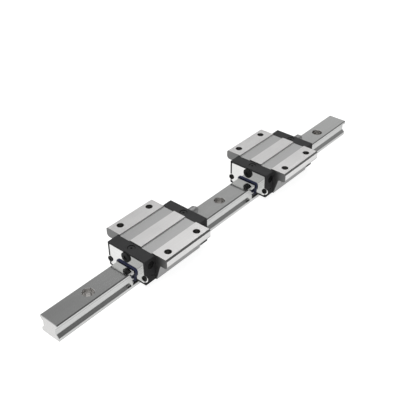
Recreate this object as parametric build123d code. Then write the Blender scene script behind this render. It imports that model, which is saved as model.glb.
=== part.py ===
"""A compact linear guide: one profile rail with two flanged ball carriages, millimetres, +Z up.

+X runs along the rail, +Y to its left side, and the origin is the centre of the rail's underside.
"""
import os
from math import sqrt

from build123d import *

# Rail: length, section and the row of screw holes
rail_length = 300.0
rail_width = 15.0
rail_height = 12.5
rail_edge_chamfer = 0.6
rail_foot_chamfer = 0.4
rail_end_chamfer = 0.3
rail_hole_pitch = 60.0
rail_hole_end = 30.0
rail_hole_bore = 4.5
rail_hole_counterbore = 7.5
rail_hole_counterbore_depth = 5.3
rail_hole_edge = 0.15
rail_recess_depth = 1.95

# Balls and the two raceways on each side of the rail
ball_diameter = 3.175
raceway_play = 0.06
raceway_groove = 0.03
lower_row_height = 4.8
upper_row_height = 8.15
ball_pitch = 4.4
ball_row_margin = 1.2

# Carriage places and the steel block
carriage_spacing = 120.0
block_length = 39.8
carriage_height = 24.0
flange_width = 52.0
flange_thickness = 7.0
flange_rounding = 2.3
flange_chamfer = 1.0
leg_root_width = 40.6
leg_foot_width = 33.0
leg_root_fillet = 1.2
leg_clearance = 4.5
channel_side_clearance = 0.5
channel_top_clearance = 1.2
recess_depth = 0.9
recess_inner = 5.2
recess_outer = 13.5
pad_edge = 0.4
bolt_pitch_across = 41.0
bolt_pitch_along = 26.0
bolt_core = 4.2
bolt_edge = 0.3

# Plastic end caps
cap_width = 32.0
cap_depth = 8.5
cap_corner = 0.8
cap_bottom_clearance = 4.6
cap_edge = 0.2
port_diameter = 5.2
port_depth = 0.4
port_pip = 1.2
side_port_height = 18.0
lube_height = 18.9

# Steel end plates with their screws
plate_thickness = 0.5
plate_inset = 1.5
plate_fit = 0.05
ear_radius = 2.6
screw_across = 29.4
screw_height = 9.7
screw_thread = 2.6
screw_length = 6.0
screw_head = 3.8
screw_head_height = 0.5
screw_socket = 1.8
screw_socket_depth = 0.35
screw_fit = 0.05

# Rail seals and bottom seals
seal_lip = 1.15
seal_lip_gap = 0.2
seal_proud = 0.9
seal_inset = 1.6
seal_fit = 0.05
bottom_seal_width = 4.0
bottom_seal_thickness = 1.1
bottom_seal_gap = 0.5

# Front plug and rear grease nipple
plug_thread = 4.0
plug_head = 7.0
plug_head_height = 0.8
plug_socket = 3.0
plug_socket_depth = 0.45
plug_insert = 4.0
nipple_collar = 6.2
nipple_collar_height = 6.4
nipple_neck = 2.8
nipple_height = 8.4
nipple_ball = 3.6
nipple_tip = 1.8
nipple_edge = 0.5

# Values that follow from the sizes above
rail_half = rail_width / 2
raceway_radius = ball_diameter / 2 + raceway_play
flank_reach = raceway_radius * sqrt(2) - raceway_groove
channel_half = rail_half + channel_side_clearance
channel_top = rail_height + channel_top_clearance
flange_bottom = carriage_height - flange_thickness
cap_top = carriage_height - recess_depth
half_block = block_length / 2
cap_face = half_block + cap_depth
plate_back = cap_face - plate_thickness
hole_count = int((rail_length - 2 * rail_hole_end) / rail_hole_pitch + 1.5)
ball_count = int((block_length - 2 * ball_row_margin - ball_diameter) / ball_pitch) + 1


def section(*outline):
    """A filled face in the Y-Z plane from its outline points."""
    return make_face(Polyline(*outline, close=True))


def extrude_x(face, start, end):
    """Carries a face drawn in the Y-Z plane along X from start to end."""
    plane = Plane(origin=(start, 0, 0), x_dir=(0, 1, 0), z_dir=(1, 0, 0))
    return extrude(plane * face, amount=end - start)


def disc_x(diameter, start, end, y=0.0, z=0.0):
    """A round bar along X."""
    return extrude_x(Pos(y, z) * Circle(diameter / 2), start, end)


def rail_outline():
    """The rail's section: a head and a foot with two ball raceways in the recess on each side."""
    edge = rail_edge_chamfer
    foot = rail_foot_chamfer
    body = section(
        (-rail_half + foot, 0), (rail_half - foot, 0), (rail_half, foot),
        (rail_half, rail_height - edge), (rail_half - edge, rail_height),
        (-rail_half + edge, rail_height), (-rail_half, rail_height - edge), (-rail_half, foot))
    for side in (-1, 1):
        body -= recess_outline(side)
    return body


def recess_outline(side):
    """One side's recess: a flat wall between two 45 degree flanks, each with a raceway arc."""
    y = side * rail_half
    wall = side * (rail_half - rail_recess_depth)
    low = lower_row_height - flank_reach
    high = upper_row_height + flank_reach
    cut = section((y, low), (wall, low + rail_recess_depth), (wall, high - rail_recess_depth), (y, high))
    for height in (lower_row_height, upper_row_height):
        cut += Pos(y, height) * Circle(raceway_radius)
    return cut


def rail_clear_outline(clearance):
    """The rail's section grown by a clearance and open downwards, for what fits round the rail."""
    grown = offset(rail_outline(), amount=clearance, kind=Kind.ARC)
    mouth = rail_half + clearance
    return grown + section((-mouth, -2), (mouth, -2), (mouth, 1), (-mouth, 1))


def build_rail():
    rail = extrude_x(rail_outline(), -rail_length / 2, rail_length / 2)
    ends = rail.faces().filter_by(Axis.X)
    rail = chamfer(ends.edges(), rail_end_chamfer)
    for index in range(hole_count):
        x = -rail_length / 2 + rail_hole_end + index * rail_hole_pitch
        rail -= Pos(x, 0, rail_height / 2) * Cylinder(rail_hole_bore / 2, rail_height + 1)
        depth = rail_hole_counterbore_depth
        rail -= Pos(x, 0, rail_height - depth) * Cylinder(
            rail_hole_counterbore / 2, depth + 1, align=(Align.CENTER, Align.CENTER, Align.MIN))
        rail -= Pos(x, 0, rail_height - rail_hole_edge) * Cone(
            rail_hole_counterbore / 2, rail_hole_counterbore / 2 + rail_hole_edge, rail_hole_edge,
            align=(Align.CENTER, Align.CENTER, Align.MIN))
    return rail


def block_outline():
    """The flanged block's section, with its top recesses and the channel for the rail."""
    half = flange_width / 2
    root = leg_root_width / 2
    foot = leg_foot_width / 2
    top = carriage_height
    edge = flange_chamfer
    outline = section(
        (-foot, leg_clearance), (foot, leg_clearance), (root, flange_bottom), (half, flange_bottom),
        (half, top - edge), (half - edge, top), (-half + edge, top), (-half, top - edge),
        (-half, flange_bottom), (-root, flange_bottom))
    for reach, radius in ((half, flange_rounding), (root, leg_root_fillet)):
        corners = [v for v in outline.vertices() if abs(abs(v.X) - reach) + abs(v.Y - flange_bottom) < 1e-6]
        outline = fillet(corners, radius)
    for side in (-1, 1):
        outline -= section(
            (side * (recess_inner - pad_edge), top), (side * recess_inner, top - pad_edge),
            (side * recess_inner, top - recess_depth), (side * recess_outer, top - recess_depth),
            (side * recess_outer, top - pad_edge), (side * (recess_outer + pad_edge), top))
    outline -= section(
        (-channel_half, leg_clearance - 1), (channel_half, leg_clearance - 1),
        (channel_half, channel_top), (-channel_half, channel_top))
    for side in (-1, 1):
        for height in (lower_row_height, upper_row_height):
            outline -= Pos(side * rail_half, height) * Circle(raceway_radius)
    return outline


def build_block():
    block = extrude_x(block_outline(), -half_block, half_block)
    for x in (-bolt_pitch_along / 2, bolt_pitch_along / 2):
        for y in (-bolt_pitch_across / 2, bolt_pitch_across / 2):
            block -= Pos(x, y, carriage_height / 2) * Cylinder(bolt_core / 2, carriage_height + 1)
            block -= Pos(x, y, carriage_height - bolt_edge) * Cone(
                bolt_core / 2, bolt_core / 2 + bolt_edge, bolt_edge, align=(Align.CENTER, Align.CENTER, Align.MIN))
    return block


def cap_outline(inset=0.0):
    """The end cap's outline, an upright box with rounded corners, drawn in by an inset."""
    height = cap_top - cap_bottom_clearance
    middle = (cap_top + cap_bottom_clearance) / 2
    return Pos(0, middle) * RectangleRounded(cap_width - 2 * inset, height - 2 * inset, cap_corner)


def build_cap():
    """An end cap on the +X end of a carriage, with a shallow pocket for its plate."""
    cap = extrude_x(cap_outline(), half_block, cap_face)
    rim = cap.edges().filter_by_position(Axis.X, cap_face - 0.01, cap_face + 0.01)
    cap = fillet(rim, cap_edge)
    cap -= extrude_x(plate_outline(plate_fit), plate_back, cap_face + 1)
    cap -= extrude_x(rail_clear_outline(seal_lip + seal_fit), half_block - 1, cap_face + 1)
    middle = half_block + cap_depth * 0.44
    cap -= Pos(middle, 0, cap_top) * (Cylinder(port_diameter / 2, port_depth * 2) - Cylinder(port_pip / 2, port_depth * 3))
    for side in (-1, 1):
        ring = Cylinder(port_diameter / 2, port_depth * 2) - Cylinder(port_pip / 2, port_depth * 3)
        cap -= Pos(middle, side * cap_width / 2, side_port_height) * Rot(90, 0, 0) * ring
    cap -= disc_x(plug_thread + 2 * screw_fit, cap_face - plug_insert - 1, cap_face + 1, z=lube_height)
    for side in (-1, 1):
        cap -= disc_x(screw_thread + 2 * screw_fit, cap_face - screw_length, cap_face + 1,
                      y=side * screw_across / 2, z=screw_height)
    return cap


def plate_outline(growth=0.0):
    """The end plate: the cap's outline drawn in, with an ear round each screw, grown by a fit."""
    outline = cap_outline(plate_inset - growth)
    for side in (-1, 1):
        outline += Pos(side * screw_across / 2, screw_height) * Circle(ear_radius + growth)
    return outline


def build_plate():
    """An end plate on the +X end of a carriage, flush with the cap's face."""
    plate = extrude_x(plate_outline(), plate_back, cap_face)
    plate -= extrude_x(rail_clear_outline(seal_lip + seal_fit), cap_face - 1, cap_face + 1)
    plate -= disc_x(plug_thread + 2 * screw_fit, cap_face - 1, cap_face + 1, z=lube_height)
    for side in (-1, 1):
        plate -= disc_x(screw_thread + 2 * screw_fit, cap_face - 1, cap_face + 1,
                        y=side * screw_across / 2, z=screw_height)
    return plate


def build_seal():
    """The wiping seal round the rail, on the +X end of a carriage."""
    keep = section((-cap_width, cap_bottom_clearance - 1), (cap_width, cap_bottom_clearance - 1),
                   (cap_width, cap_top), (-cap_width, cap_top))
    outline = (rail_clear_outline(seal_lip) & keep) - rail_clear_outline(seal_lip_gap)
    return extrude_x(outline, cap_face - seal_inset, cap_face + seal_proud)


def build_screw(side):
    """One end plate screw with its socket, on the +X end of a carriage."""
    y = side * screw_across / 2
    head_face = cap_face + screw_head_height
    screw = disc_x(screw_thread, cap_face - screw_length + 1, cap_face, y=y, z=screw_height)
    screw += disc_x(screw_head, cap_face, head_face, y=y, z=screw_height)
    socket = Pos(y, screw_height) * RegularPolygon(screw_socket / 2, 6)
    return screw - extrude_x(socket, head_face - screw_socket_depth, head_face + 1)


def build_plug():
    """The lubrication plug with its socket, on the +X end of a carriage."""
    head_face = cap_face + plug_head_height
    plug = disc_x(plug_thread, cap_face - plug_insert, cap_face, z=lube_height)
    plug += disc_x(plug_head, cap_face, head_face, z=lube_height)
    socket = Pos(0, lube_height) * RegularPolygon(plug_socket / 2, 6)
    return plug - extrude_x(socket, head_face - plug_socket_depth, head_face + 1)


def build_nipple():
    """The grease nipple on the +X end of a carriage, turned about its own axis."""
    collar = cap_face + nipple_collar_height
    tip = cap_face + nipple_height
    neck_end = tip - nipple_ball / 2
    cheek = nipple_ball / 6
    profile = Polyline(
        (cap_face - plug_insert, 0), (cap_face - plug_insert, plug_thread / 2), (cap_face, plug_thread / 2),
        (cap_face, nipple_collar / 2), (collar - nipple_edge, nipple_collar / 2),
        (collar, nipple_collar / 2 - nipple_edge), (collar, nipple_neck / 2),
        (neck_end, nipple_neck / 2), (neck_end + cheek, nipple_ball / 2),
        (neck_end + 2 * cheek, nipple_ball / 2), (tip, nipple_tip / 2), (tip, 0), close=True)
    turned = revolve(make_face(profile), Axis.X, 360)
    return Pos(0, 0, lube_height) * turned


def build_balls():
    """The load-carrying balls: two rows on each side, between the rail's and the block's raceways."""
    first = -ball_pitch * (ball_count - 1) / 2
    balls = []
    for side in (-1, 1):
        for height in (lower_row_height, upper_row_height):
            for index in range(ball_count):
                balls.append(Pos(first + index * ball_pitch, side * rail_half, height) * Sphere(ball_diameter / 2))
    return Compound(balls)


def build_bottom_seals():
    """The two strips under the block's legs, which also hold the lower balls in."""
    strips = []
    for side in (-1, 1):
        inner = channel_half
        strip = section(
            (side * inner, leg_clearance - bottom_seal_thickness), (side * inner, leg_clearance),
            (side * (inner + bottom_seal_width), leg_clearance),
            (side * (inner + bottom_seal_width), leg_clearance - bottom_seal_thickness))
        strip -= Pos(side * rail_half, lower_row_height) * Circle(raceway_radius)
        strips.append(extrude_x(strip, -half_block + bottom_seal_gap, half_block - bottom_seal_gap))
    return Compound(strips)


def build_carriage(name, x):
    """All pieces of one carriage, built about its centre and set at x along the rail."""
    turn = Rot(0, 0, 180)
    cap = build_cap()
    plate = build_plate()
    seal = build_seal()
    screws = Compound([build_screw(-1), build_screw(1)])
    pieces = {
        "body": build_block(),
        "balls": build_balls(),
        "bottom_seals": build_bottom_seals(),
        "front_cap": turn * cap,
        "rear_cap": cap,
        "front_plate": turn * plate,
        "rear_plate": plate,
        "front_seal": turn * seal,
        "rear_seal": seal,
        "front_screws": turn * screws,
        "rear_screws": screws,
        "front_plug": turn * build_plug(),
        "rear_grease_nipple": build_nipple(),
    }
    return {f"{name}_{piece}": Pos(x, 0, 0) * shape for piece, shape in pieces.items()}


def main():
    os.makedirs("parts", exist_ok=True)
    nodes = {"rail": build_rail()}
    nodes.update(build_carriage("carriage_1", -carriage_spacing / 2))
    nodes.update(build_carriage("carriage_2", carriage_spacing / 2))
    for name, shape in nodes.items():
        export_step(shape, f"parts/{name}.step")


main()
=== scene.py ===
"""Looks of a compact linear guide: ground steel, moulded end caps, bright end plates and navy rail seals.

Lengths are metres in the rail's own frame: +X along the rail, +Y to its left side, +Z up from the bed.
"""
from __future__ import annotations

import logging
import math
from dataclasses import dataclass
from enum import Enum

import bpy
import numpy as np
from mathutils import Matrix, Vector


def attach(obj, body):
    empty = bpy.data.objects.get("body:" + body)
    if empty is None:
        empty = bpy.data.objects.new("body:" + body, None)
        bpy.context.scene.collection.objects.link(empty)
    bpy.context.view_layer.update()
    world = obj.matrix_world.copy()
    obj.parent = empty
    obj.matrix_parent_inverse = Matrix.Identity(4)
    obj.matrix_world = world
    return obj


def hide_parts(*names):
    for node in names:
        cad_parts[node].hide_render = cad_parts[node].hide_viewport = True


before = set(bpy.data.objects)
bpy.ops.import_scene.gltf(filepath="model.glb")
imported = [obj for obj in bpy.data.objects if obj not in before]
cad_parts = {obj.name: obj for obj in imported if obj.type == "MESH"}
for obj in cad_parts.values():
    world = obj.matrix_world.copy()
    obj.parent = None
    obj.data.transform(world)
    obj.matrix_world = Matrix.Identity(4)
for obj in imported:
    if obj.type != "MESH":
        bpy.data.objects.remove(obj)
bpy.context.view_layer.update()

MM = 0.001
LOG = logging.getLogger("linear_guide")
Pair = tuple[float, float]
Triple = tuple[float, float, float]
Colour = Triple
Socket = bpy.types.NodeSocket
Skin = tuple[np.ndarray, list[list[int]]]

# Each carriage's distance from the rail's middle, and half the spacing of a block's screw holes along and across.
FROM_MIDDLE = 60.0 * MM
HOLE_ALONG = 13.0 * MM
HOLE_ACROSS = 20.5 * MM

# How squarely a surface has to face an axis to count as square to it, the range that counts as slanting, and the
# limit below which it counts as facing down.
SQUARE = 0.99
SLANTING = (0.5, 0.9)
DOWNWARD = -0.1


class Grain(Enum):
    """The way that fine tool marks run over a surface."""

    ALONG = "along"
    ACROSS = "across"
    EVEN = "even"


GRAIN_SCALES = {Grain.ALONG: (25.0, 4200.0, 4200.0), Grain.ACROSS: (4200.0, 25.0, 4200.0), Grain.EVEN: (3800.0,) * 3}


class NodeSheet:
    """A material's node tree, with short methods for the nodes that the finishes share."""

    def __init__(self, name: str) -> None:
        """Makes an empty material with one Principled shader.

        Args:
            name: the material's name.
        """
        self.material = bpy.data.materials.new(name)
        self.material.use_nodes = True
        self.tree = self.material.node_tree
        self.shader = self.tree.nodes["Principled BSDF"]

    def add(self, kind: str, **values: object) -> bpy.types.Node:
        """Adds a node and sets its properties.

        Args:
            kind: the node's Blender type name.
            values: property names and their values.

        Returns:
            The new node.
        """
        node = self.tree.nodes.new(kind)
        for key, value in values.items():
            setattr(node, key, value)
        return node

    def link(self, source: Socket, target: Socket) -> None:
        """Joins one socket to another."""
        self.tree.links.new(source, target)

    def set(self, **values: object) -> None:
        """Sets constants on the Principled shader's own sockets, with underscores for spaces."""
        for key, value in values.items():
            self.shader.inputs[key.replace("_", " ")].default_value = value

    def noise(self, scale: Triple, detail: float = 3.0) -> Socket:
        """Noise on object coordinates.

        Args:
            scale: features per metre on each axis.
            detail: octaves of finer noise.

        Returns:
            The noise's value socket.
        """
        texture = self.add("ShaderNodeTexNoise")
        texture.inputs["Scale"].default_value = 1.0
        texture.inputs["Detail"].default_value = detail
        mapping = self.add("ShaderNodeMapping")
        mapping.inputs["Scale"].default_value = scale
        self.link(self.add("ShaderNodeTexCoord").outputs["Object"], mapping.inputs["Vector"])
        self.link(mapping.outputs["Vector"], texture.inputs["Vector"])
        return texture.outputs["Fac"]

    def span(self, value: Socket, low: float, high: float, start: float = 0.3, end: float = 0.7) -> Socket:
        """Carries a value from one range to another.

        Args:
            value: the socket to read.
            low: the result at the start of the range.
            high: the result at its end.
            start: the input range's start.
            end: the input range's end.

        Returns:
            The result's socket.
        """
        ranged = self.add("ShaderNodeMapRange")
        for key, number in (("From Min", start), ("From Max", end), ("To Min", low), ("To Max", high)):
            ranged.inputs[key].default_value = number
        self.link(value, ranged.inputs["Value"])
        return ranged.outputs["Result"]

    def tint(self, factor: Socket, colour: Colour, shades: Pair) -> None:
        """Lets the base colour run between two shades of one colour.

        Args:
            factor: the socket that mixes them.
            colour: the colour.
            shades: the factor on it where the socket is 0, and where it is 1.
        """
        mix = self.add("ShaderNodeMix", data_type="RGBA")
        sockets = {socket.name: socket for socket in mix.inputs if socket.type == "RGBA"}
        for key, amount in zip("AB", shades):
            sockets[key].default_value = (*(min(1.0, channel * amount) for channel in colour), 1.0)
        self.link(factor, mix.inputs[0])
        self.link(next(socket for socket in mix.outputs if socket.type == "RGBA"), self.shader.inputs["Base Color"])

    def gloss(self, value: Socket, roughness: float, shares: Pair) -> None:
        """Lets the roughness run between two shares of one roughness.

        Args:
            value: the socket that drives it.
            roughness: the roughness.
            shares: the factor on it at the value's low end, and at its high end.
        """
        low, high = shares
        self.link(self.span(value, roughness * low, roughness * high), self.shader.inputs["Roughness"])

    def math(self, operation: str, first: Socket, second: float | Socket = 0.0, third: float = 0.0) -> Socket:
        """One step of arithmetic.

        Args:
            operation: the Math node's operation.
            first: the first value.
            second: the second value, a number or a socket.
            third: the third number, for operations that have one.

        Returns:
            The result's socket.
        """
        node = self.add("ShaderNodeMath", operation=operation)
        self.link(first, node.inputs[0])
        if isinstance(second, Socket):
            self.link(second, node.inputs[1])
        else:
            node.inputs[1].default_value = second
        node.inputs[2].default_value = third
        return node.outputs[0]

    def axes(self) -> tuple[Socket, ...]:
        """Parts the object coordinates.

        Returns:
            The sockets of x, y and z.
        """
        split = self.add("ShaderNodeSeparateXYZ")
        self.link(self.add("ShaderNodeTexCoord").outputs["Object"], split.inputs[0])
        return tuple(split.outputs)

    def leaning(self, axis: str) -> Socket:
        """How squarely the surface faces along an axis.

        Args:
            axis: X, Y or Z.

        Returns:
            A socket that runs from -1, facing against the axis, to 1.
        """
        split = self.add("ShaderNodeSeparateXYZ")
        self.link(self.add("ShaderNodeNewGeometry").outputs["True Normal"], split.inputs[0])
        return split.outputs[axis]

    def facing(self, axis: str) -> Socket:
        """How squarely the surface faces along an axis, either way, from 0 to 1."""
        return self.math("ABSOLUTE", self.leaning(axis))

    def between(self, value: Socket, low: float, high: float) -> Socket:
        """A mask that is 1 where a value lies between two numbers."""
        return self.math("MULTIPLY", self.math("GREATER_THAN", value, low), self.math("LESS_THAN", value, high))

    def within(self, across: Socket, along: Socket, radius: float) -> Socket:
        """A mask of a round region.

        Args:
            across: the distance from the region's axis one way.
            along: the distance the other way.
            radius: the region's radius.

        Returns:
            A socket that is 1 where the squares of the two distances add up to less than that of the radius.
        """
        squares = self.math("ADD", self.math("MULTIPLY", across, across), self.math("MULTIPLY", along, along))
        return self.math("LESS_THAN", squares, radius * radius)

    def over(self, mask: Socket, name: str, value: Colour | float) -> None:
        """Lays a constant over what one of the shader's inputs has so far, where a mask is 1.

        Args:
            mask: where the constant shows.
            name: the shader's input.
            value: the constant, a colour or a number.
        """
        target = self.shader.inputs[name]
        coloured = isinstance(value, tuple)
        mix = self.add("ShaderNodeMix", data_type="RGBA" if coloured else "FLOAT")
        kind = "RGBA" if coloured else "VALUE"
        sockets = {socket.name: socket for socket in mix.inputs if socket.type == kind and socket.name in "AB"}
        if target.is_linked:
            self.link(target.links[0].from_socket, sockets["A"])
        else:
            sockets["A"].default_value = target.default_value
        sockets["B"].default_value = (*value, 1.0) if coloured else value
        self.link(mask, mix.inputs[0])
        self.link(next(socket for socket in mix.outputs if socket.type == kind), target)

    def bump(self, height: Socket, strength: float, distance: float) -> None:
        """Raises the surface by a height value.

        Args:
            height: the socket that gives the height.
            strength: how much of the bump shows.
            distance: the height of a full step, in metres.
        """
        bump = self.add("ShaderNodeBump")
        bump.inputs["Strength"].default_value = strength
        bump.inputs["Distance"].default_value = distance
        self.link(height, bump.inputs["Height"])
        if self.shader.inputs["Normal"].is_linked:
            self.link(self.shader.inputs["Normal"].links[0].from_socket, bump.inputs["Normal"])
        self.link(bump.outputs["Normal"], self.shader.inputs["Normal"])


@dataclass(frozen=True)
class GroundSteel:
    """Hardened steel, ground with the wheel's fine lines along one way."""

    name: str
    colour: Colour
    roughness: float
    grain: Grain
    metallic: float = 1.0
    line_height: float = 0.4e-6
    line_strength: float = 0.5
    cloud_scale: Triple = (35.0, 60.0, 60.0)
    cloud_detail: float = 2.0
    tint_range: Pair = (0.12, 0.4)
    shades: Pair = (0.95, 1.05)
    gloss_shares: Pair = (0.85, 1.2)

    def sheet(self) -> NodeSheet:
        """Makes the finish: metal whose gloss, tint and height vary with the grinding lines.

        Returns:
            The node sheet, ready for marks of the piece's own.
        """
        sheet = NodeSheet(self.name)
        sheet.set(Metallic=self.metallic)
        lines = sheet.noise(GRAIN_SCALES[self.grain])
        cloud = sheet.noise(self.cloud_scale, self.cloud_detail)
        both = sheet.math("MULTIPLY", lines, cloud)
        sheet.tint(sheet.span(both, 0.0, 1.0, *self.tint_range), self.colour, self.shades)
        sheet.gloss(lines, self.roughness, self.gloss_shares)
        sheet.bump(lines, self.line_strength, self.line_height)
        return sheet

    def material(self) -> bpy.types.Material:
        """The finish as a plain material."""
        return self.sheet().material


@dataclass(frozen=True)
class MouldedPlastic:
    """Black engineering plastic with the fine spark-eroded grain of its mould."""

    name: str
    colour: Colour
    roughness: float
    specular: float = 0.15
    grain_height: float = 6e-6
    grain_strength: float = 0.35
    grain_scale: float = 5200.0
    grain_detail: float = 4.0
    cloud_scale: float = 120.0
    cloud_detail: float = 2.0
    shades: Pair = (0.9, 1.12)
    gloss_shares: Pair = (0.9, 1.15)

    def sheet(self) -> NodeSheet:
        """Makes the finish: a dark dielectric with an even fine grain.

        Returns:
            The node sheet, ready for marks of the piece's own.
        """
        sheet = NodeSheet(self.name)
        sheet.set(Metallic=0.0, Specular_IOR_Level=self.specular)
        grain = sheet.noise((self.grain_scale,) * 3, self.grain_detail)
        sheet.tint(sheet.noise((self.cloud_scale,) * 3, self.cloud_detail), self.colour, self.shades)
        sheet.gloss(grain, self.roughness, self.gloss_shares)
        sheet.bump(grain, self.grain_strength, self.grain_height)
        return sheet

    def material(self) -> bpy.types.Material:
        """The finish as a plain material."""
        return self.sheet().material


@dataclass(frozen=True)
class LipRubber:
    """Seal rubber with a soft even skin."""

    name: str
    colour: Colour
    roughness: float
    specular: float = 0.4
    mottle_scale: float = 900.0
    skin_scale: float = 3500.0
    skin_height: float = 4e-6
    skin_strength: float = 0.3
    shades: Pair = (0.8, 1.2)
    gloss_shares: Pair = (0.85, 1.15)

    def material(self) -> bpy.types.Material:
        """Makes the finish: a dielectric with a slight mottle.

        Returns:
            The material.
        """
        sheet = NodeSheet(self.name)
        sheet.set(Metallic=0.0, Specular_IOR_Level=self.specular)
        mottle = sheet.noise((self.mottle_scale,) * 3)
        sheet.tint(mottle, self.colour, self.shades)
        sheet.gloss(mottle, self.roughness, self.gloss_shares)
        sheet.bump(sheet.noise((self.skin_scale,) * 3), self.skin_strength, self.skin_height)
        return sheet.material


RAIL_STEEL = GroundSteel("rail_ground_steel", (0.635, 0.64, 0.635), 0.11, Grain.ALONG)
BLOCK_STEEL = GroundSteel("block_ground_steel", (0.74, 0.732, 0.728), 0.34, Grain.ALONG, 0.85)
PLATE_STEEL = GroundSteel("bright_sheet_steel", (0.87, 0.87, 0.86), 0.07, Grain.ACROSS, line_height=0.1e-6)
# Dark oxide in the threads, and painted shade: the dark colour also stands in for the shade deep in the holes.
THREAD_OXIDE_AND_SHADE = GroundSteel("tapped_thread_oxide_and_shade", (0.075, 0.073, 0.07), 0.4, Grain.EVEN)
BALL_STEEL = GroundSteel("ball_steel", (0.8, 0.8, 0.82), 0.08, Grain.EVEN)
NIPPLE_STEEL = GroundSteel("plated_steel", (0.25, 0.25, 0.25), 0.4, Grain.EVEN, 0.6)
CAP_PLASTIC = MouldedPlastic("cap_plastic", (0.05, 0.05, 0.051), 0.5, 0.06)
SCREW_BLACK = MouldedPlastic("black_oxide", (0.006, 0.006, 0.006), 0.3, 0.12, 2e-6)
PLUG_PLASTIC = MouldedPlastic("plug_plastic", (0.007, 0.0075, 0.007), 0.3, 0.14)
SEAL_RUBBER = LipRubber("seal_rubber", (0.011, 0.016, 0.058), 0.36, 0.3)
STRIP_RUBBER = LipRubber("strip_rubber", (0.03, 0.03, 0.035), 0.5)


@dataclass(frozen=True)
class OtherSteel:
    """The steel of drilled, tapped, sawn and polished surfaces, which differs from the ground one round it, and
    lighter or darker copies of the steel that are painted reflection and painted shade.
    """

    colour: Colour
    roughness: float
    metallic: float = 1.0

    def lay(self, sheet: NodeSheet, mask: Socket) -> None:
        """Lays the finish over a steel where a mask is 1.

        Args:
            sheet: the steel's node sheet.
            mask: where the finish shows.
        """
        sheet.over(mask, "Base Color", self.colour)
        sheet.over(mask, "Roughness", self.roughness)
        sheet.over(mask, "Metallic", self.metallic)


COUNTERBORE = OtherSteel((0.66, 0.65, 0.64), 0.22)
# Dark oxide, and painted shade of the deep holes, on the tapped holes' walls.
TAPPED_HOLE_OXIDE_AND_SHADE = OtherSteel((0.06, 0.058, 0.056), 0.5)
DRILLED_RELIEF = OtherSteel((0.26, 0.255, 0.25), 0.4)
# Painted reflection: a lighter copy of the block steel for its sides, which mirror the bright floor.
BLOCK_SIDE_PAINTED_REFLECTION = OtherSteel((0.83, 0.825, 0.82), 0.3, 0.9)
BLOCK_END = OtherSteel((0.22, 0.22, 0.22), 0.42)
# Painted shade: a darker colour on the block's polished slanted edges.
BLOCK_EDGE_PAINTED_SHADE = OtherSteel((0.4, 0.4, 0.4), 0.14)
# Painted shade: a darker colour on the rail head's chamfers.
RAIL_CHAMFER_PAINTED_SHADE = OtherSteel((0.42, 0.42, 0.42), 0.12)
# Painted shade: a darker colour on faces that look downward.
UNDERSIDE_PAINTED_SHADE = OtherSteel((0.38, 0.38, 0.38), 0.45)
RAIL_END = OtherSteel((0.71, 0.705, 0.7), 0.2)
# Painted shade: a dark line on the rail's sides just under the head.
HEAD_CORNER_PAINTED_SHADE = OtherSteel((0.2, 0.2, 0.2), 0.3)
MILLED_FLOOR = OtherSteel((0.47, 0.47, 0.47), 0.38, 0.8)


def dress(node: str, material: bpy.types.Material) -> None:
    """Gives every material slot of a CAD node one material.

    Args:
        node: the node's name.
        material: the finish.
    """
    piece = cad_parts[node]
    for slot in piece.material_slots:
        slot.material = material


def add_object(name: str, data: bpy.types.ID) -> bpy.types.Object:
    """Makes an object of some data and links it to the scene.

    Args:
        name: the object's name.
        data: its mesh, camera or light.

    Returns:
        The object.
    """
    item = bpy.data.objects.new(name, data)
    bpy.context.scene.collection.objects.link(item)
    return item


def ring_mesh(points: np.ndarray, closed_rows: bool) -> Skin:
    """Joins a grid of points into a closed skin of quads.

    The quad at row i and column j has the corners (i, j), (i, j + 1), (i + 1, j + 1) and (i + 1, j), with the columns
    counted round. The rows are counted round too, or else each end is closed by one face. The skin's volume is the sum
    of a . (b x c) / 6 over its triangles, and the faces are turned over where that comes out negative.

    Args:
        points: an array of rows, columns and three coordinates.
        closed_rows: whether the last row joins the first.

    Returns:
        The points, as rows of three coordinates, and the faces.
    """
    rows, columns = points.shape[:2]
    index = np.arange(rows * columns).reshape(rows, columns)
    upper = np.roll(index, -1, axis=0)
    if not closed_rows:
        index, upper = index[:-1], upper[:-1]
    quads = np.stack([index, np.roll(index, -1, axis=1), np.roll(upper, -1, axis=1), upper], axis=-1).reshape(-1, 4)
    flat = points.reshape(-1, 3)
    faces = quads.tolist()
    if not closed_rows:
        last = (rows - 1) * columns
        faces += [list(range(columns))[::-1], list(range(last, last + columns))]
    a, b, c, d = (flat[quads[:, k]] - flat.mean(axis=0) for k in range(4))
    volume = np.einsum("ij,ij->", a, np.cross(b, c)) + np.einsum("ij,ij->", a, np.cross(c, d))
    if volume < 0:
        faces = [face[::-1] for face in faces]
    return flat, faces


def make_piece(name: str, skins: list[Skin], material: bpy.types.Material) -> bpy.types.Object:
    """Puts closed skins into one smooth-shaded object.

    Args:
        name: the piece's name.
        skins: the points and faces of each skin.
        material: its finish.

    Returns:
        The object, at the origin.
    """
    starts = np.cumsum([0] + [len(points) for points, _ in skins])
    faces = [[corner + int(start) for corner in face] for (_, part), start in zip(skins, starts) for face in part]
    mesh = bpy.data.meshes.new(name)
    mesh.from_pydata(np.concatenate([points for points, _ in skins]).tolist(), [], faces)
    mesh.polygons.foreach_set("use_smooth", np.ones(len(mesh.polygons), bool))
    mesh.materials.append(material)
    return add_object(name, mesh)


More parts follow.
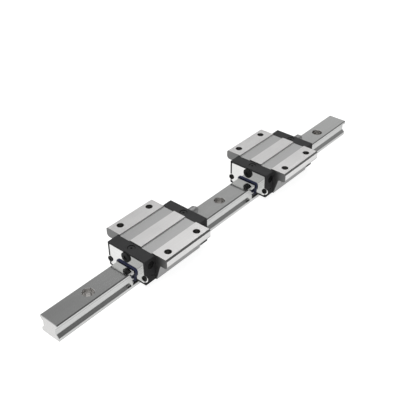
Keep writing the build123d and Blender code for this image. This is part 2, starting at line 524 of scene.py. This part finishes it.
@dataclass(frozen=True)
class PhotoCamera:
    """The photograph's camera, from a fit to the picture in which the guide's main sizes were taken as given."""

    place: Triple = (-311.595 * MM, -258.316 * MM, 299.094 * MM)
    heading: float = 48.4565
    elevation: float = 35.2516
    roll: float = -1.1418
    lens: float = 65.223

    def make(self) -> None:
        """Creates the camera: it looks along its heading, measured from +Y to +X, and down by its elevation."""
        data = bpy.data.cameras.new("camera")
        data.lens = self.lens
        data.clip_start = 0.01
        camera = add_object("camera", data)
        turn, down = math.radians(self.heading), math.radians(self.elevation)
        forward = Vector((math.sin(turn) * math.cos(down), math.cos(turn) * math.cos(down), -math.sin(down)))
        upright = forward.to_track_quat("-Z", "Y").to_matrix()
        camera.matrix_world = Matrix.Translation(self.place) @ (
            upright @ Matrix.Rotation(math.radians(self.roll), 3, "Z")).to_4x4()
        bpy.context.scene.camera = camera


@dataclass(frozen=True)
class ReflectionCard:
    """A grey card that only polished surfaces see, as studios hang them to draw out the planes of metal."""

    name: str
    heading: float
    elevation: float
    width: float
    height: float
    left_level: float
    right_level: float
    distance: float = 1.6

    def make(self) -> None:
        """Hangs the card. Heading turns from +X to +Y, and the grey runs from left to right as the guide sees it."""
        turn, up = math.radians(self.heading), math.radians(self.elevation)
        outward = Vector((math.cos(turn) * math.cos(up), math.sin(turn) * math.cos(up), math.sin(up)))
        right = Vector((math.sin(turn), -math.cos(turn), 0.0))
        rise = right.cross(outward)
        centre = outward * self.distance
        sides = ((-1, -1), (1, -1), (1, 1), (-1, 1))
        corners = [centre + right * self.width / 2 * a + rise * self.height / 2 * b for a, b in sides]
        mesh = bpy.data.meshes.new(self.name)
        mesh.from_pydata(corners, [], [(0, 1, 2, 3)])
        layer = mesh.uv_layers.new(name="card")
        layer.data.foreach_set("uv", np.array([0, 0, 1, 0, 1, 1, 0, 1], np.float32))
        card = add_object(self.name, mesh)
        card.visible_camera = card.visible_diffuse = card.visible_shadow = card.visible_transmission = False
        mesh.materials.append(self.grey())

    def grey(self) -> bpy.types.Material:
        """The card's grey, which runs along its own width.

        Returns:
            The material.
        """
        sheet = NodeSheet(self.name)
        across = sheet.add("ShaderNodeSeparateXYZ")
        sheet.link(sheet.add("ShaderNodeUVMap", uv_map="card").outputs["UV"], across.inputs[0])
        glow = sheet.add("ShaderNodeEmission")
        level = sheet.span(across.outputs["X"], self.left_level, self.right_level, 0.0, 1.0)
        sheet.link(level, glow.inputs["Strength"])
        sheet.link(glow.outputs[0], sheet.tree.nodes["Material Output"].inputs["Surface"])
        return sheet.material


REFLECTION_CARDS = (
    ReflectionCard("card_over_top", 45.0, 42.0, 2.6, 1.9, 0.05, 0.82),
    ReflectionCard("card_over_side", -46.0, 36.0, 1.5, 1.3, 0.36, 0.14),
    ReflectionCard("card_high_right", 20.0, 61.0, 1.0, 0.8, 2.0, 2.6, 1.4),
    ReflectionCard("card_over_back", 147.0, 37.0, 2.4, 1.4, 0.08, 1.2),
    ReflectionCard("card_overhead", 0.0, 89.0, 0.9, 0.9, 0.7, 0.95, 1.4),
)


@dataclass(frozen=True)
class SoftLamp:
    """A square soft lamp that faces the guide and stays out of its reflections."""

    name: str
    place: Triple
    size: float
    power: float

    def make(self) -> None:
        """Hangs the lamp."""
        data = bpy.data.lights.new(self.name, "AREA")
        data.size = self.size
        data.energy = self.power
        lamp = add_object(self.name, data)
        lamp.location = self.place
        lamp.rotation_euler = (-Vector(self.place)).to_track_quat("-Z", "Y").to_euler()
        lamp.visible_glossy = False


LAMPS = (SoftLamp("key", (-0.45, -0.05, 1.5), 1.2, 11.0), SoftLamp("fill", (-1.1, 0.3, 1.2), 1.4, 2.75))


@dataclass(frozen=True)
class Studio:
    """A white sweep under soft lamps, with grey cards for the metal to reflect."""

    floor_half: float = 6.0
    floor_colour: Colour = (0.4, 0.4, 0.4)
    camera_lift: float = 0.9
    mirror_lift: float = 0.66
    world_level: float = 0.3

    def make(self) -> None:
        """Builds the floor, the world, the lamps and the cards, and sets how light values turn into the picture."""
        self.floor()
        self.world()
        for item in (*LAMPS, *REFLECTION_CARDS):
            item.make()
        bpy.context.scene.view_settings.view_transform = "Standard"

    def floor(self) -> None:
        """Lays the floor at the rail's underside. It glows for the camera, up to white, and for reflections."""
        half = self.floor_half
        mesh = bpy.data.meshes.new("floor")
        mesh.from_pydata([(-half, -half, 0), (half, -half, 0), (half, half, 0), (-half, half, 0)], [], [(0, 1, 2, 3)])
        floor = add_object("floor", mesh)
        sheet = NodeSheet("floor_white")
        sheet.set(Base_Color=(*self.floor_colour, 1.0), Roughness=0.9, Specular_IOR_Level=0.0,
                  Emission_Color=(1.0, 1.0, 1.0, 1.0))
        path = sheet.add("ShaderNodeLightPath")
        direct = sheet.math("MULTIPLY", path.outputs["Is Camera Ray"], self.camera_lift)
        mirrored = sheet.math("MULTIPLY", path.outputs["Is Glossy Ray"], self.mirror_lift)
        sheet.link(sheet.math("ADD", direct, mirrored), sheet.shader.inputs["Emission Strength"])
        mesh.materials.append(sheet.material)

    def world(self) -> None:
        """Lights from all round, with white behind for the camera, for gloss and for glass."""
        world = bpy.data.worlds.new("studio")
        world.use_nodes = True
        bpy.context.scene.world = world
        tree = world.node_tree
        light = tree.nodes["Background"]
        light.inputs["Color"].default_value = (1.0, 1.0, 1.0, 1.0)
        light.inputs["Strength"].default_value = self.world_level
        white = tree.nodes.new("ShaderNodeBackground")
        white.inputs["Color"].default_value = (1.0, 1.0, 1.0, 1.0)
        path = tree.nodes.new("ShaderNodeLightPath")
        seen = path.outputs["Is Camera Ray"]
        for ray in ("Is Glossy Ray", "Is Transmission Ray"):
            either = tree.nodes.new("ShaderNodeMath")
            either.operation = "MAXIMUM"
            tree.links.new(seen, either.inputs[0])
            tree.links.new(path.outputs[ray], either.inputs[1])
            seen = either.outputs[0]
        mix = tree.nodes.new("ShaderNodeMixShader")
        tree.links.new(seen, mix.inputs["Fac"])
        tree.links.new(light.outputs[0], mix.inputs[1])
        tree.links.new(white.outputs[0], mix.inputs[2])
        tree.links.new(mix.outputs[0], tree.nodes["World Output"].inputs["Surface"])


@dataclass(frozen=True)
class Rail:
    """The profile rail: where its own machined surfaces lie, and where shade is painted on it."""

    hole_pitch: float = 60.0 * MM
    hole_reach: float = 3.92 * MM
    head_corner: float = 10.3 * MM
    head_corner_top: float = 10.65 * MM

    def build(self) -> int:
        """Dresses the rail, with drilled holes and cut ends, painted shade on the chamfers of its head, and a painted
        dark line, painted shade, along its sides just under the head.

        Returns:
            The number of pieces.
        """
        sheet = RAIL_STEEL.sheet()
        x, y, z = sheet.axes()
        nearest = sheet.math("WRAP", x, self.hole_pitch / 2, -self.hole_pitch / 2)
        COUNTERBORE.lay(sheet, sheet.within(nearest, y, self.hole_reach))
        RAIL_END.lay(sheet, sheet.math("GREATER_THAN", sheet.facing("X"), SQUARE))
        slanting = sheet.math("MULTIPLY", sheet.between(sheet.leaning("Z"), *SLANTING),
                              sheet.math("GREATER_THAN", sheet.facing("Y"), SLANTING[0]))
        # Painted shade on the head's chamfers.
        RAIL_CHAMFER_PAINTED_SHADE.lay(sheet, sheet.math("MULTIPLY", slanting, sheet.math("GREATER_THAN", z, self.head_corner_top)))
        upright = sheet.math("GREATER_THAN", sheet.facing("Y"), SLANTING[1])
        corner = sheet.between(z, self.head_corner, self.head_corner_top)
        # Painted shade: a dark line on the sides just under the head.
        HEAD_CORNER_PAINTED_SHADE.lay(sheet, sheet.math("MULTIPLY", upright, corner))
        dress("rail", sheet.material)
        return 1


@dataclass(frozen=True)
class TappedHoles:
    """The thread in a block's four screw holes."""

    root: float = 2.09 * MM
    crest: float = 1.88 * MM
    skirt: float = 2.15 * MM
    pitch: float = 0.8 * MM
    steepness: float = 1.5
    clipping: float = 0.25
    bottom: float = 17.1 * MM
    top: float = 23.65 * MM
    turn_steps: int = 48
    height_steps: int = 90

    def skin(self, x: float, y: float) -> Skin:
        """The thread of one hole, a tube whose inner side is a helical ridge.

        At the turn a and the height z the inner side's radius is the root less the depth times a clipped triangle wave
        of z / pitch - a / (one turn), so that the ridge climbs one pitch a turn. The depth fades to nothing within the
        first and the last pitch. The outer side is a plain cylinder within the steel.

        Args:
            x: the hole's place along the rail.
            y: its place across it.

        Returns:
            The points and faces.
        """
        turn = np.linspace(0.0, 2 * math.pi, self.turn_steps, endpoint=False)[None, :]
        height = np.linspace(self.bottom, self.top, self.height_steps)[:, None]
        phase = height / self.pitch - turn / (2 * math.pi)
        wave = 2 * np.abs(phase - np.floor(phase) - 0.5)
        fade = np.clip(np.minimum(height - self.bottom, self.top - height) / self.pitch, 0, 1)
        ridge = np.clip(self.steepness * wave - self.clipping, 0, 1)
        inner = self.root - (self.root - self.crest) * fade * ridge
        height = np.concatenate([height, [[self.top], [self.bottom]]])
        radius = np.concatenate([inner, np.full((2, turn.size), self.skirt)])
        height = np.broadcast_to(height, radius.shape)
        return ring_mesh(np.stack([x + radius * np.cos(turn), y + radius * np.sin(turn), height], axis=-1), True)

    def build(self, name: str, centre: float, material: bpy.types.Material) -> bpy.types.Object:
        """Makes the four threads of one block.

        Args:
            name: the piece's name.
            centre: the block's place along the rail.
            material: the thread's finish.

        Returns:
            The piece.
        """
        skins = [self.skin(centre + i * HOLE_ALONG, j * HOLE_ACROSS) for i in (-1, 1) for j in (-1, 1)]
        return make_piece(name, skins, material)


@dataclass(frozen=True)
class RailSeal:
    """A wiping seal: a rubber arch whose inner side follows the rail's section, with two lips on its nose."""

    rail_half: float = 7.5 * MM
    rail_top: float = 12.5 * MM
    rail_edge: float = 0.6 * MM
    recess_low: float = 2.5 * MM
    recess_high: float = 10.45 * MM
    recess_depth: float = 1.95 * MM
    foot: float = 4.5 * MM
    gap: float = 0.2 * MM
    thickness: float = 1.15 * MM
    tuck: float = 0.1 * MM
    tuck_low: float = 7.5 * MM
    tuck_high: float = 9.1 * MM
    back: float = 26.8 * MM
    shoulder: float = 28.75 * MM
    nose: float = 29.3 * MM
    groove: float = 0.22 * MM
    groove_share: float = 0.45
    groove_width: float = 0.15
    nose_steps: int = 29
    softness: float = 0.55 * MM
    soft_reach: int = 4
    soft_steps: int = 6
    kept_step: int = 3

    def chains(self) -> np.ndarray:
        """The corners of the arch's two sides in the section's plane, from the right foot to the left one.

        The inner side is the rail's outline moved out by the gap. The outer one is moved out by the thickness, and
        below the head it tucks in to the rail's side. Where two runs meet at 45 degrees, the offset moves their corner
        along each run by the offset times (root of 2 less 1).

        Returns:
            An array of two sides, corners and two coordinates.
        """
        lean = self.gap * (math.sqrt(2) - 1)
        wall = self.rail_half - self.recess_depth + self.gap
        low, high = self.recess_low + self.recess_depth + lean, self.recess_high - self.recess_depth - lean
        head, edge, shelf = self.recess_high - lean, self.rail_top - self.rail_edge, self.rail_half - self.rail_edge
        side, top = self.rail_half + self.gap, self.rail_top + self.gap
        inner = [(wall + low - self.foot, self.foot), (wall, low), (wall, high), (side, head), (side, edge + lean),
                 (shelf + lean, top)]
        lean = self.thickness * (math.sqrt(2) - 1)
        side, top = self.rail_half + self.thickness, self.rail_top + self.thickness
        tuck = self.rail_half + self.tuck
        outer = [(tuck, self.foot), (tuck, low), (tuck, self.tuck_low), (side, self.tuck_high), (side, edge + lean),
                 (shelf + lean, top)]
        right = np.array([inner, outer])
        return np.concatenate([right, right[:, ::-1] * (-1, 1)], axis=1)

    def sides(self) -> np.ndarray:
        """The arch's two sides as smooth lines.

        The chains are cut into even steps of their middle line's length, and each coordinate is averaged with the
        weights exp(-(distance / softness)^2 / 2), which rounds the bends. The ends are carried on straight first, so
        that they stay in place. Only every few steps are kept.

        Returns:
            An array of two sides, steps and two coordinates.
        """
        chains = self.chains()
        runs = np.linalg.norm(np.diff(chains.mean(axis=0), axis=0), axis=1)
        reach = self.soft_reach * self.softness
        first = chains[:, :1] + (chains[:, :1] - chains[:, 1:2]) * reach / runs[0]
        last = chains[:, -1:] + (chains[:, -1:] - chains[:, -2:-1]) * reach / runs[-1]
        chains = np.concatenate([first, chains, last], axis=1)
        length = np.concatenate([[0.0], np.cumsum(np.concatenate([[reach], runs, [reach]]))])
        step = self.softness / self.soft_steps
        along = np.arange(0.0, length[-1], step)
        half = self.soft_reach * self.soft_steps
        offset = np.arange(-half, half + 1) * step
        weight = np.exp(-(offset / self.softness) ** 2 / 2)
        weight /= weight.sum()
        lines = [[np.convolve(np.interp(along, length, side[:, k]), weight, "valid")[::self.kept_step]
                  for k in (0, 1)] for side in chains]
        return np.moveaxis(np.array(lines), 1, 2)

    def profile(self) -> tuple[np.ndarray, np.ndarray]:
        """The arch's own section: its share of the way from the inner to the outer side, and its place along the rail.

        The nose is a full half round, share = (1 + cos(a)) / 2, along = shoulder + (nose - shoulder) times the root of
        sin(a), less a narrow bell-shaped groove times sin(a) that parts it into two lips. Three more points close the
        back.

        Returns:
            The two coordinates, round the section.
        """
        angle = np.linspace(0.0, math.pi, self.nose_steps)
        share = (1 + np.cos(angle)) / 2
        groove = self.groove * np.exp(-((share - self.groove_share) / self.groove_width) ** 2)
        along = self.shoulder + (self.nose - self.shoulder) * np.sqrt(np.sin(angle)) - groove * np.sin(angle)
        return np.concatenate([share, [0.0, 0.5, 1.0]]), np.concatenate([along, [self.back] * 3])

    def build(self, name: str, centre: float, way: int, material: bpy.types.Material) -> bpy.types.Object:
        """Carries the profile round the arch: a point lies on the line from the inner to the outer side, at its share.

        Args:
            name: the piece's name.
            centre: the carriage's place along the rail.
            way: 1 for the +X end and -1 for the other.
            material: the rubber.

        Returns:
            The piece.
        """
        inner, outer = self.sides()
        share, along = self.profile()
        section = inner[:, None] + (outer - inner)[:, None] * share[None, :, None]
        place = np.broadcast_to(centre + way * along, section.shape[:2])
        return make_piece(name, [ring_mesh(np.concatenate([place[..., None], section], axis=-1), False)], material)


@dataclass(frozen=True)
class Carriage:
    """One flanged carriage with its caps, plates and seals."""

    name: str
    centre: float

    def node(self, piece: str) -> str:
        """The full node name of one of the carriage's pieces."""
        return f"{self.name}_{piece}"

    def build(self, finishes: dict[str, bpy.types.Material], thread: bpy.types.Material) -> int:
        """Dresses the carriage's pieces, and gives it its seals' lips and its threads.

        Args:
            finishes: a material for each piece's name.
            thread: the threads' material.

        Returns:
            The number of pieces, the threads with them.
        """
        for piece, finish in finishes.items():
            dress(self.node(piece), finish)
        for piece, way in (("front_seal", -1), ("rear_seal", 1)):
            seal = RailSeal().build(self.node(f"{piece}_lips"), self.centre, way, finishes[piece])
            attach(seal, self.name)
            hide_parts(self.node(piece))
        threads = TappedHoles().build(self.node("threads"), self.centre, thread)
        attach(threads, self.name)
        return len(finishes) + 1


@dataclass(frozen=True)
class Block:
    """The carriage's steel block: where its own machined surfaces lie, and where reflection and shade are painted on
    it.
    """

    hole_reach: float = 2.35 * MM
    flange_bottom: float = 17.0 * MM
    recess_top: float = 23.5 * MM
    recess_floor: float = 22.9 * MM

    def material(self) -> bpy.types.Material:
        """Ground steel with milled recess floors, cut ends and tapped holes, a painted reflection on its sides,
        painted shade on its slanted edges and its underside, and dark oxide with painted shade in its tapped holes.

        The drilled relief's mask is the holes' less the flange's, and the -1 that this leaves elsewhere counts as 0.

        Returns:
            The material, good for both blocks, because they stand evenly on both sides of the rail's middle.
        """
        sheet = BLOCK_STEEL.sheet()
        x, y, z = sheet.axes()
        level = sheet.math("GREATER_THAN", sheet.facing("Z"), SQUARE)
        floor = sheet.between(z, self.recess_floor, self.recess_top)
        MILLED_FLOOR.lay(sheet, sheet.math("MULTIPLY", floor, level))
        # Painted reflection: faces square to Y are lighter.
        BLOCK_SIDE_PAINTED_REFLECTION.lay(sheet, sheet.math("GREATER_THAN", sheet.facing("Y"), SQUARE))
        # Painted shade: the slanted edges are darker.
        BLOCK_EDGE_PAINTED_SHADE.lay(sheet, sheet.between(sheet.leaning("Z"), *SLANTING))
        # Painted shade: faces that look downward are darker.
        UNDERSIDE_PAINTED_SHADE.lay(sheet, sheet.math("LESS_THAN", sheet.leaning("Z"), DOWNWARD))
        BLOCK_END.lay(sheet, sheet.math("GREATER_THAN", sheet.facing("X"), SQUARE))
        along = sheet.math("ABSOLUTE", sheet.math("SUBTRACT", sheet.math("ABSOLUTE", x), FROM_MIDDLE))
        across = sheet.math("SUBTRACT", sheet.math("ABSOLUTE", y), HOLE_ACROSS)
        along = sheet.math("SUBTRACT", along, HOLE_ALONG)
        hole = sheet.within(along, across, self.hole_reach)
        flange = sheet.math("GREATER_THAN", z, self.flange_bottom)
        # Dark oxide and painted shade in the tapped holes.
        TAPPED_HOLE_OXIDE_AND_SHADE.lay(sheet, sheet.math("MULTIPLY", hole, flange))
        DRILLED_RELIEF.lay(sheet, sheet.math("SUBTRACT", hole, flange))
        return sheet.material


@dataclass(frozen=True)
class EndCap:
    """A moulded end cap: where the blanked lubrication ports lie in its top and sides."""

    port_along: float = 23.64 * MM
    port_reach: float = 2.62 * MM
    port_floor: float = 2.2 * MM
    pip_reach: float = 0.7 * MM
    top: float = 23.05 * MM
    side: float = 15.95 * MM
    side_height: float = 18.0 * MM
    # Painted shade: the colour that darkens the ports' walls and pips.
    port_shade_colour: Colour = (0.012, 0.012, 0.012)
    port_roughness: float = 0.4

    def material(self) -> bpy.types.Material:
        """Grained plastic, with the walls and pips of the ports smoother, and darker with painted shade.

        Returns:
            The material, good for all four caps, because they stand evenly on both sides of the rail's middle.
        """
        sheet = CAP_PLASTIC.sheet()
        x, y, z = sheet.axes()
        along = sheet.math("ABSOLUTE", sheet.math("SUBTRACT", sheet.math("ABSOLUTE", x), FROM_MIDDLE))
        along = sheet.math("SUBTRACT", along, self.port_along)
        up = sheet.math("SUBTRACT", z, self.side_height)
        sunk = sheet.math("LESS_THAN", z, self.top)
        inward = sheet.math("LESS_THAN", sheet.math("ABSOLUTE", y), self.side)
        for across, below, inner in ((y, sunk, self.port_floor), (up, inward, 0.0)):
            outside = sheet.within(along, across, self.port_reach)
            ring = sheet.math("SUBTRACT", outside, sheet.within(along, across, inner))
            pip = sheet.within(along, across, self.pip_reach)
            mask = sheet.math("MAXIMUM", sheet.math("MULTIPLY", ring, below), pip)
            # Painted shade: the ports' walls and pips are darker.
            sheet.over(mask, "Base Color", self.port_shade_colour)
            sheet.over(mask, "Roughness", self.port_roughness)
        return sheet.material


def carriage_finishes() -> dict[str, bpy.types.Material]:
    """The materials that both carriages share, by piece.

    Returns:
        A material for each piece's name.
    """
    cap = EndCap().material()
    plate = PLATE_STEEL.material()
    seal = SEAL_RUBBER.material()
    screws = SCREW_BLACK.material()
    return {
        "body": Block().material(),
        "balls": BALL_STEEL.material(),
        "bottom_seals": STRIP_RUBBER.material(),
        "front_cap": cap,
        "rear_cap": cap,
        "front_plate": plate,
        "rear_plate": plate,
        "front_seal": seal,
        "rear_seal": seal,
        "front_screws": screws,
        "rear_screws": screws,
        "front_plug": PLUG_PLASTIC.material(),
        "rear_grease_nipple": NIPPLE_STEEL.material(),
    }


def main() -> None:
    """Builds the studio, the rail and the carriages, and reports each."""
    logging.basicConfig(level=logging.INFO, format="%(name)s: %(message)s")
    PhotoCamera().make()
    Studio().make()
    LOG.info("rail: %d piece", Rail().build())
    # The threads' dark colour is oxide and painted shade.
    finishes, thread = carriage_finishes(), THREAD_OXIDE_AND_SHADE.material()
    for name, centre in (("carriage_1", -FROM_MIDDLE), ("carriage_2", FROM_MIDDLE)):
        LOG.info("%s: %d pieces", name, Carriage(name, centre).build(finishes, thread))


if __name__ == "__main__":
    main()
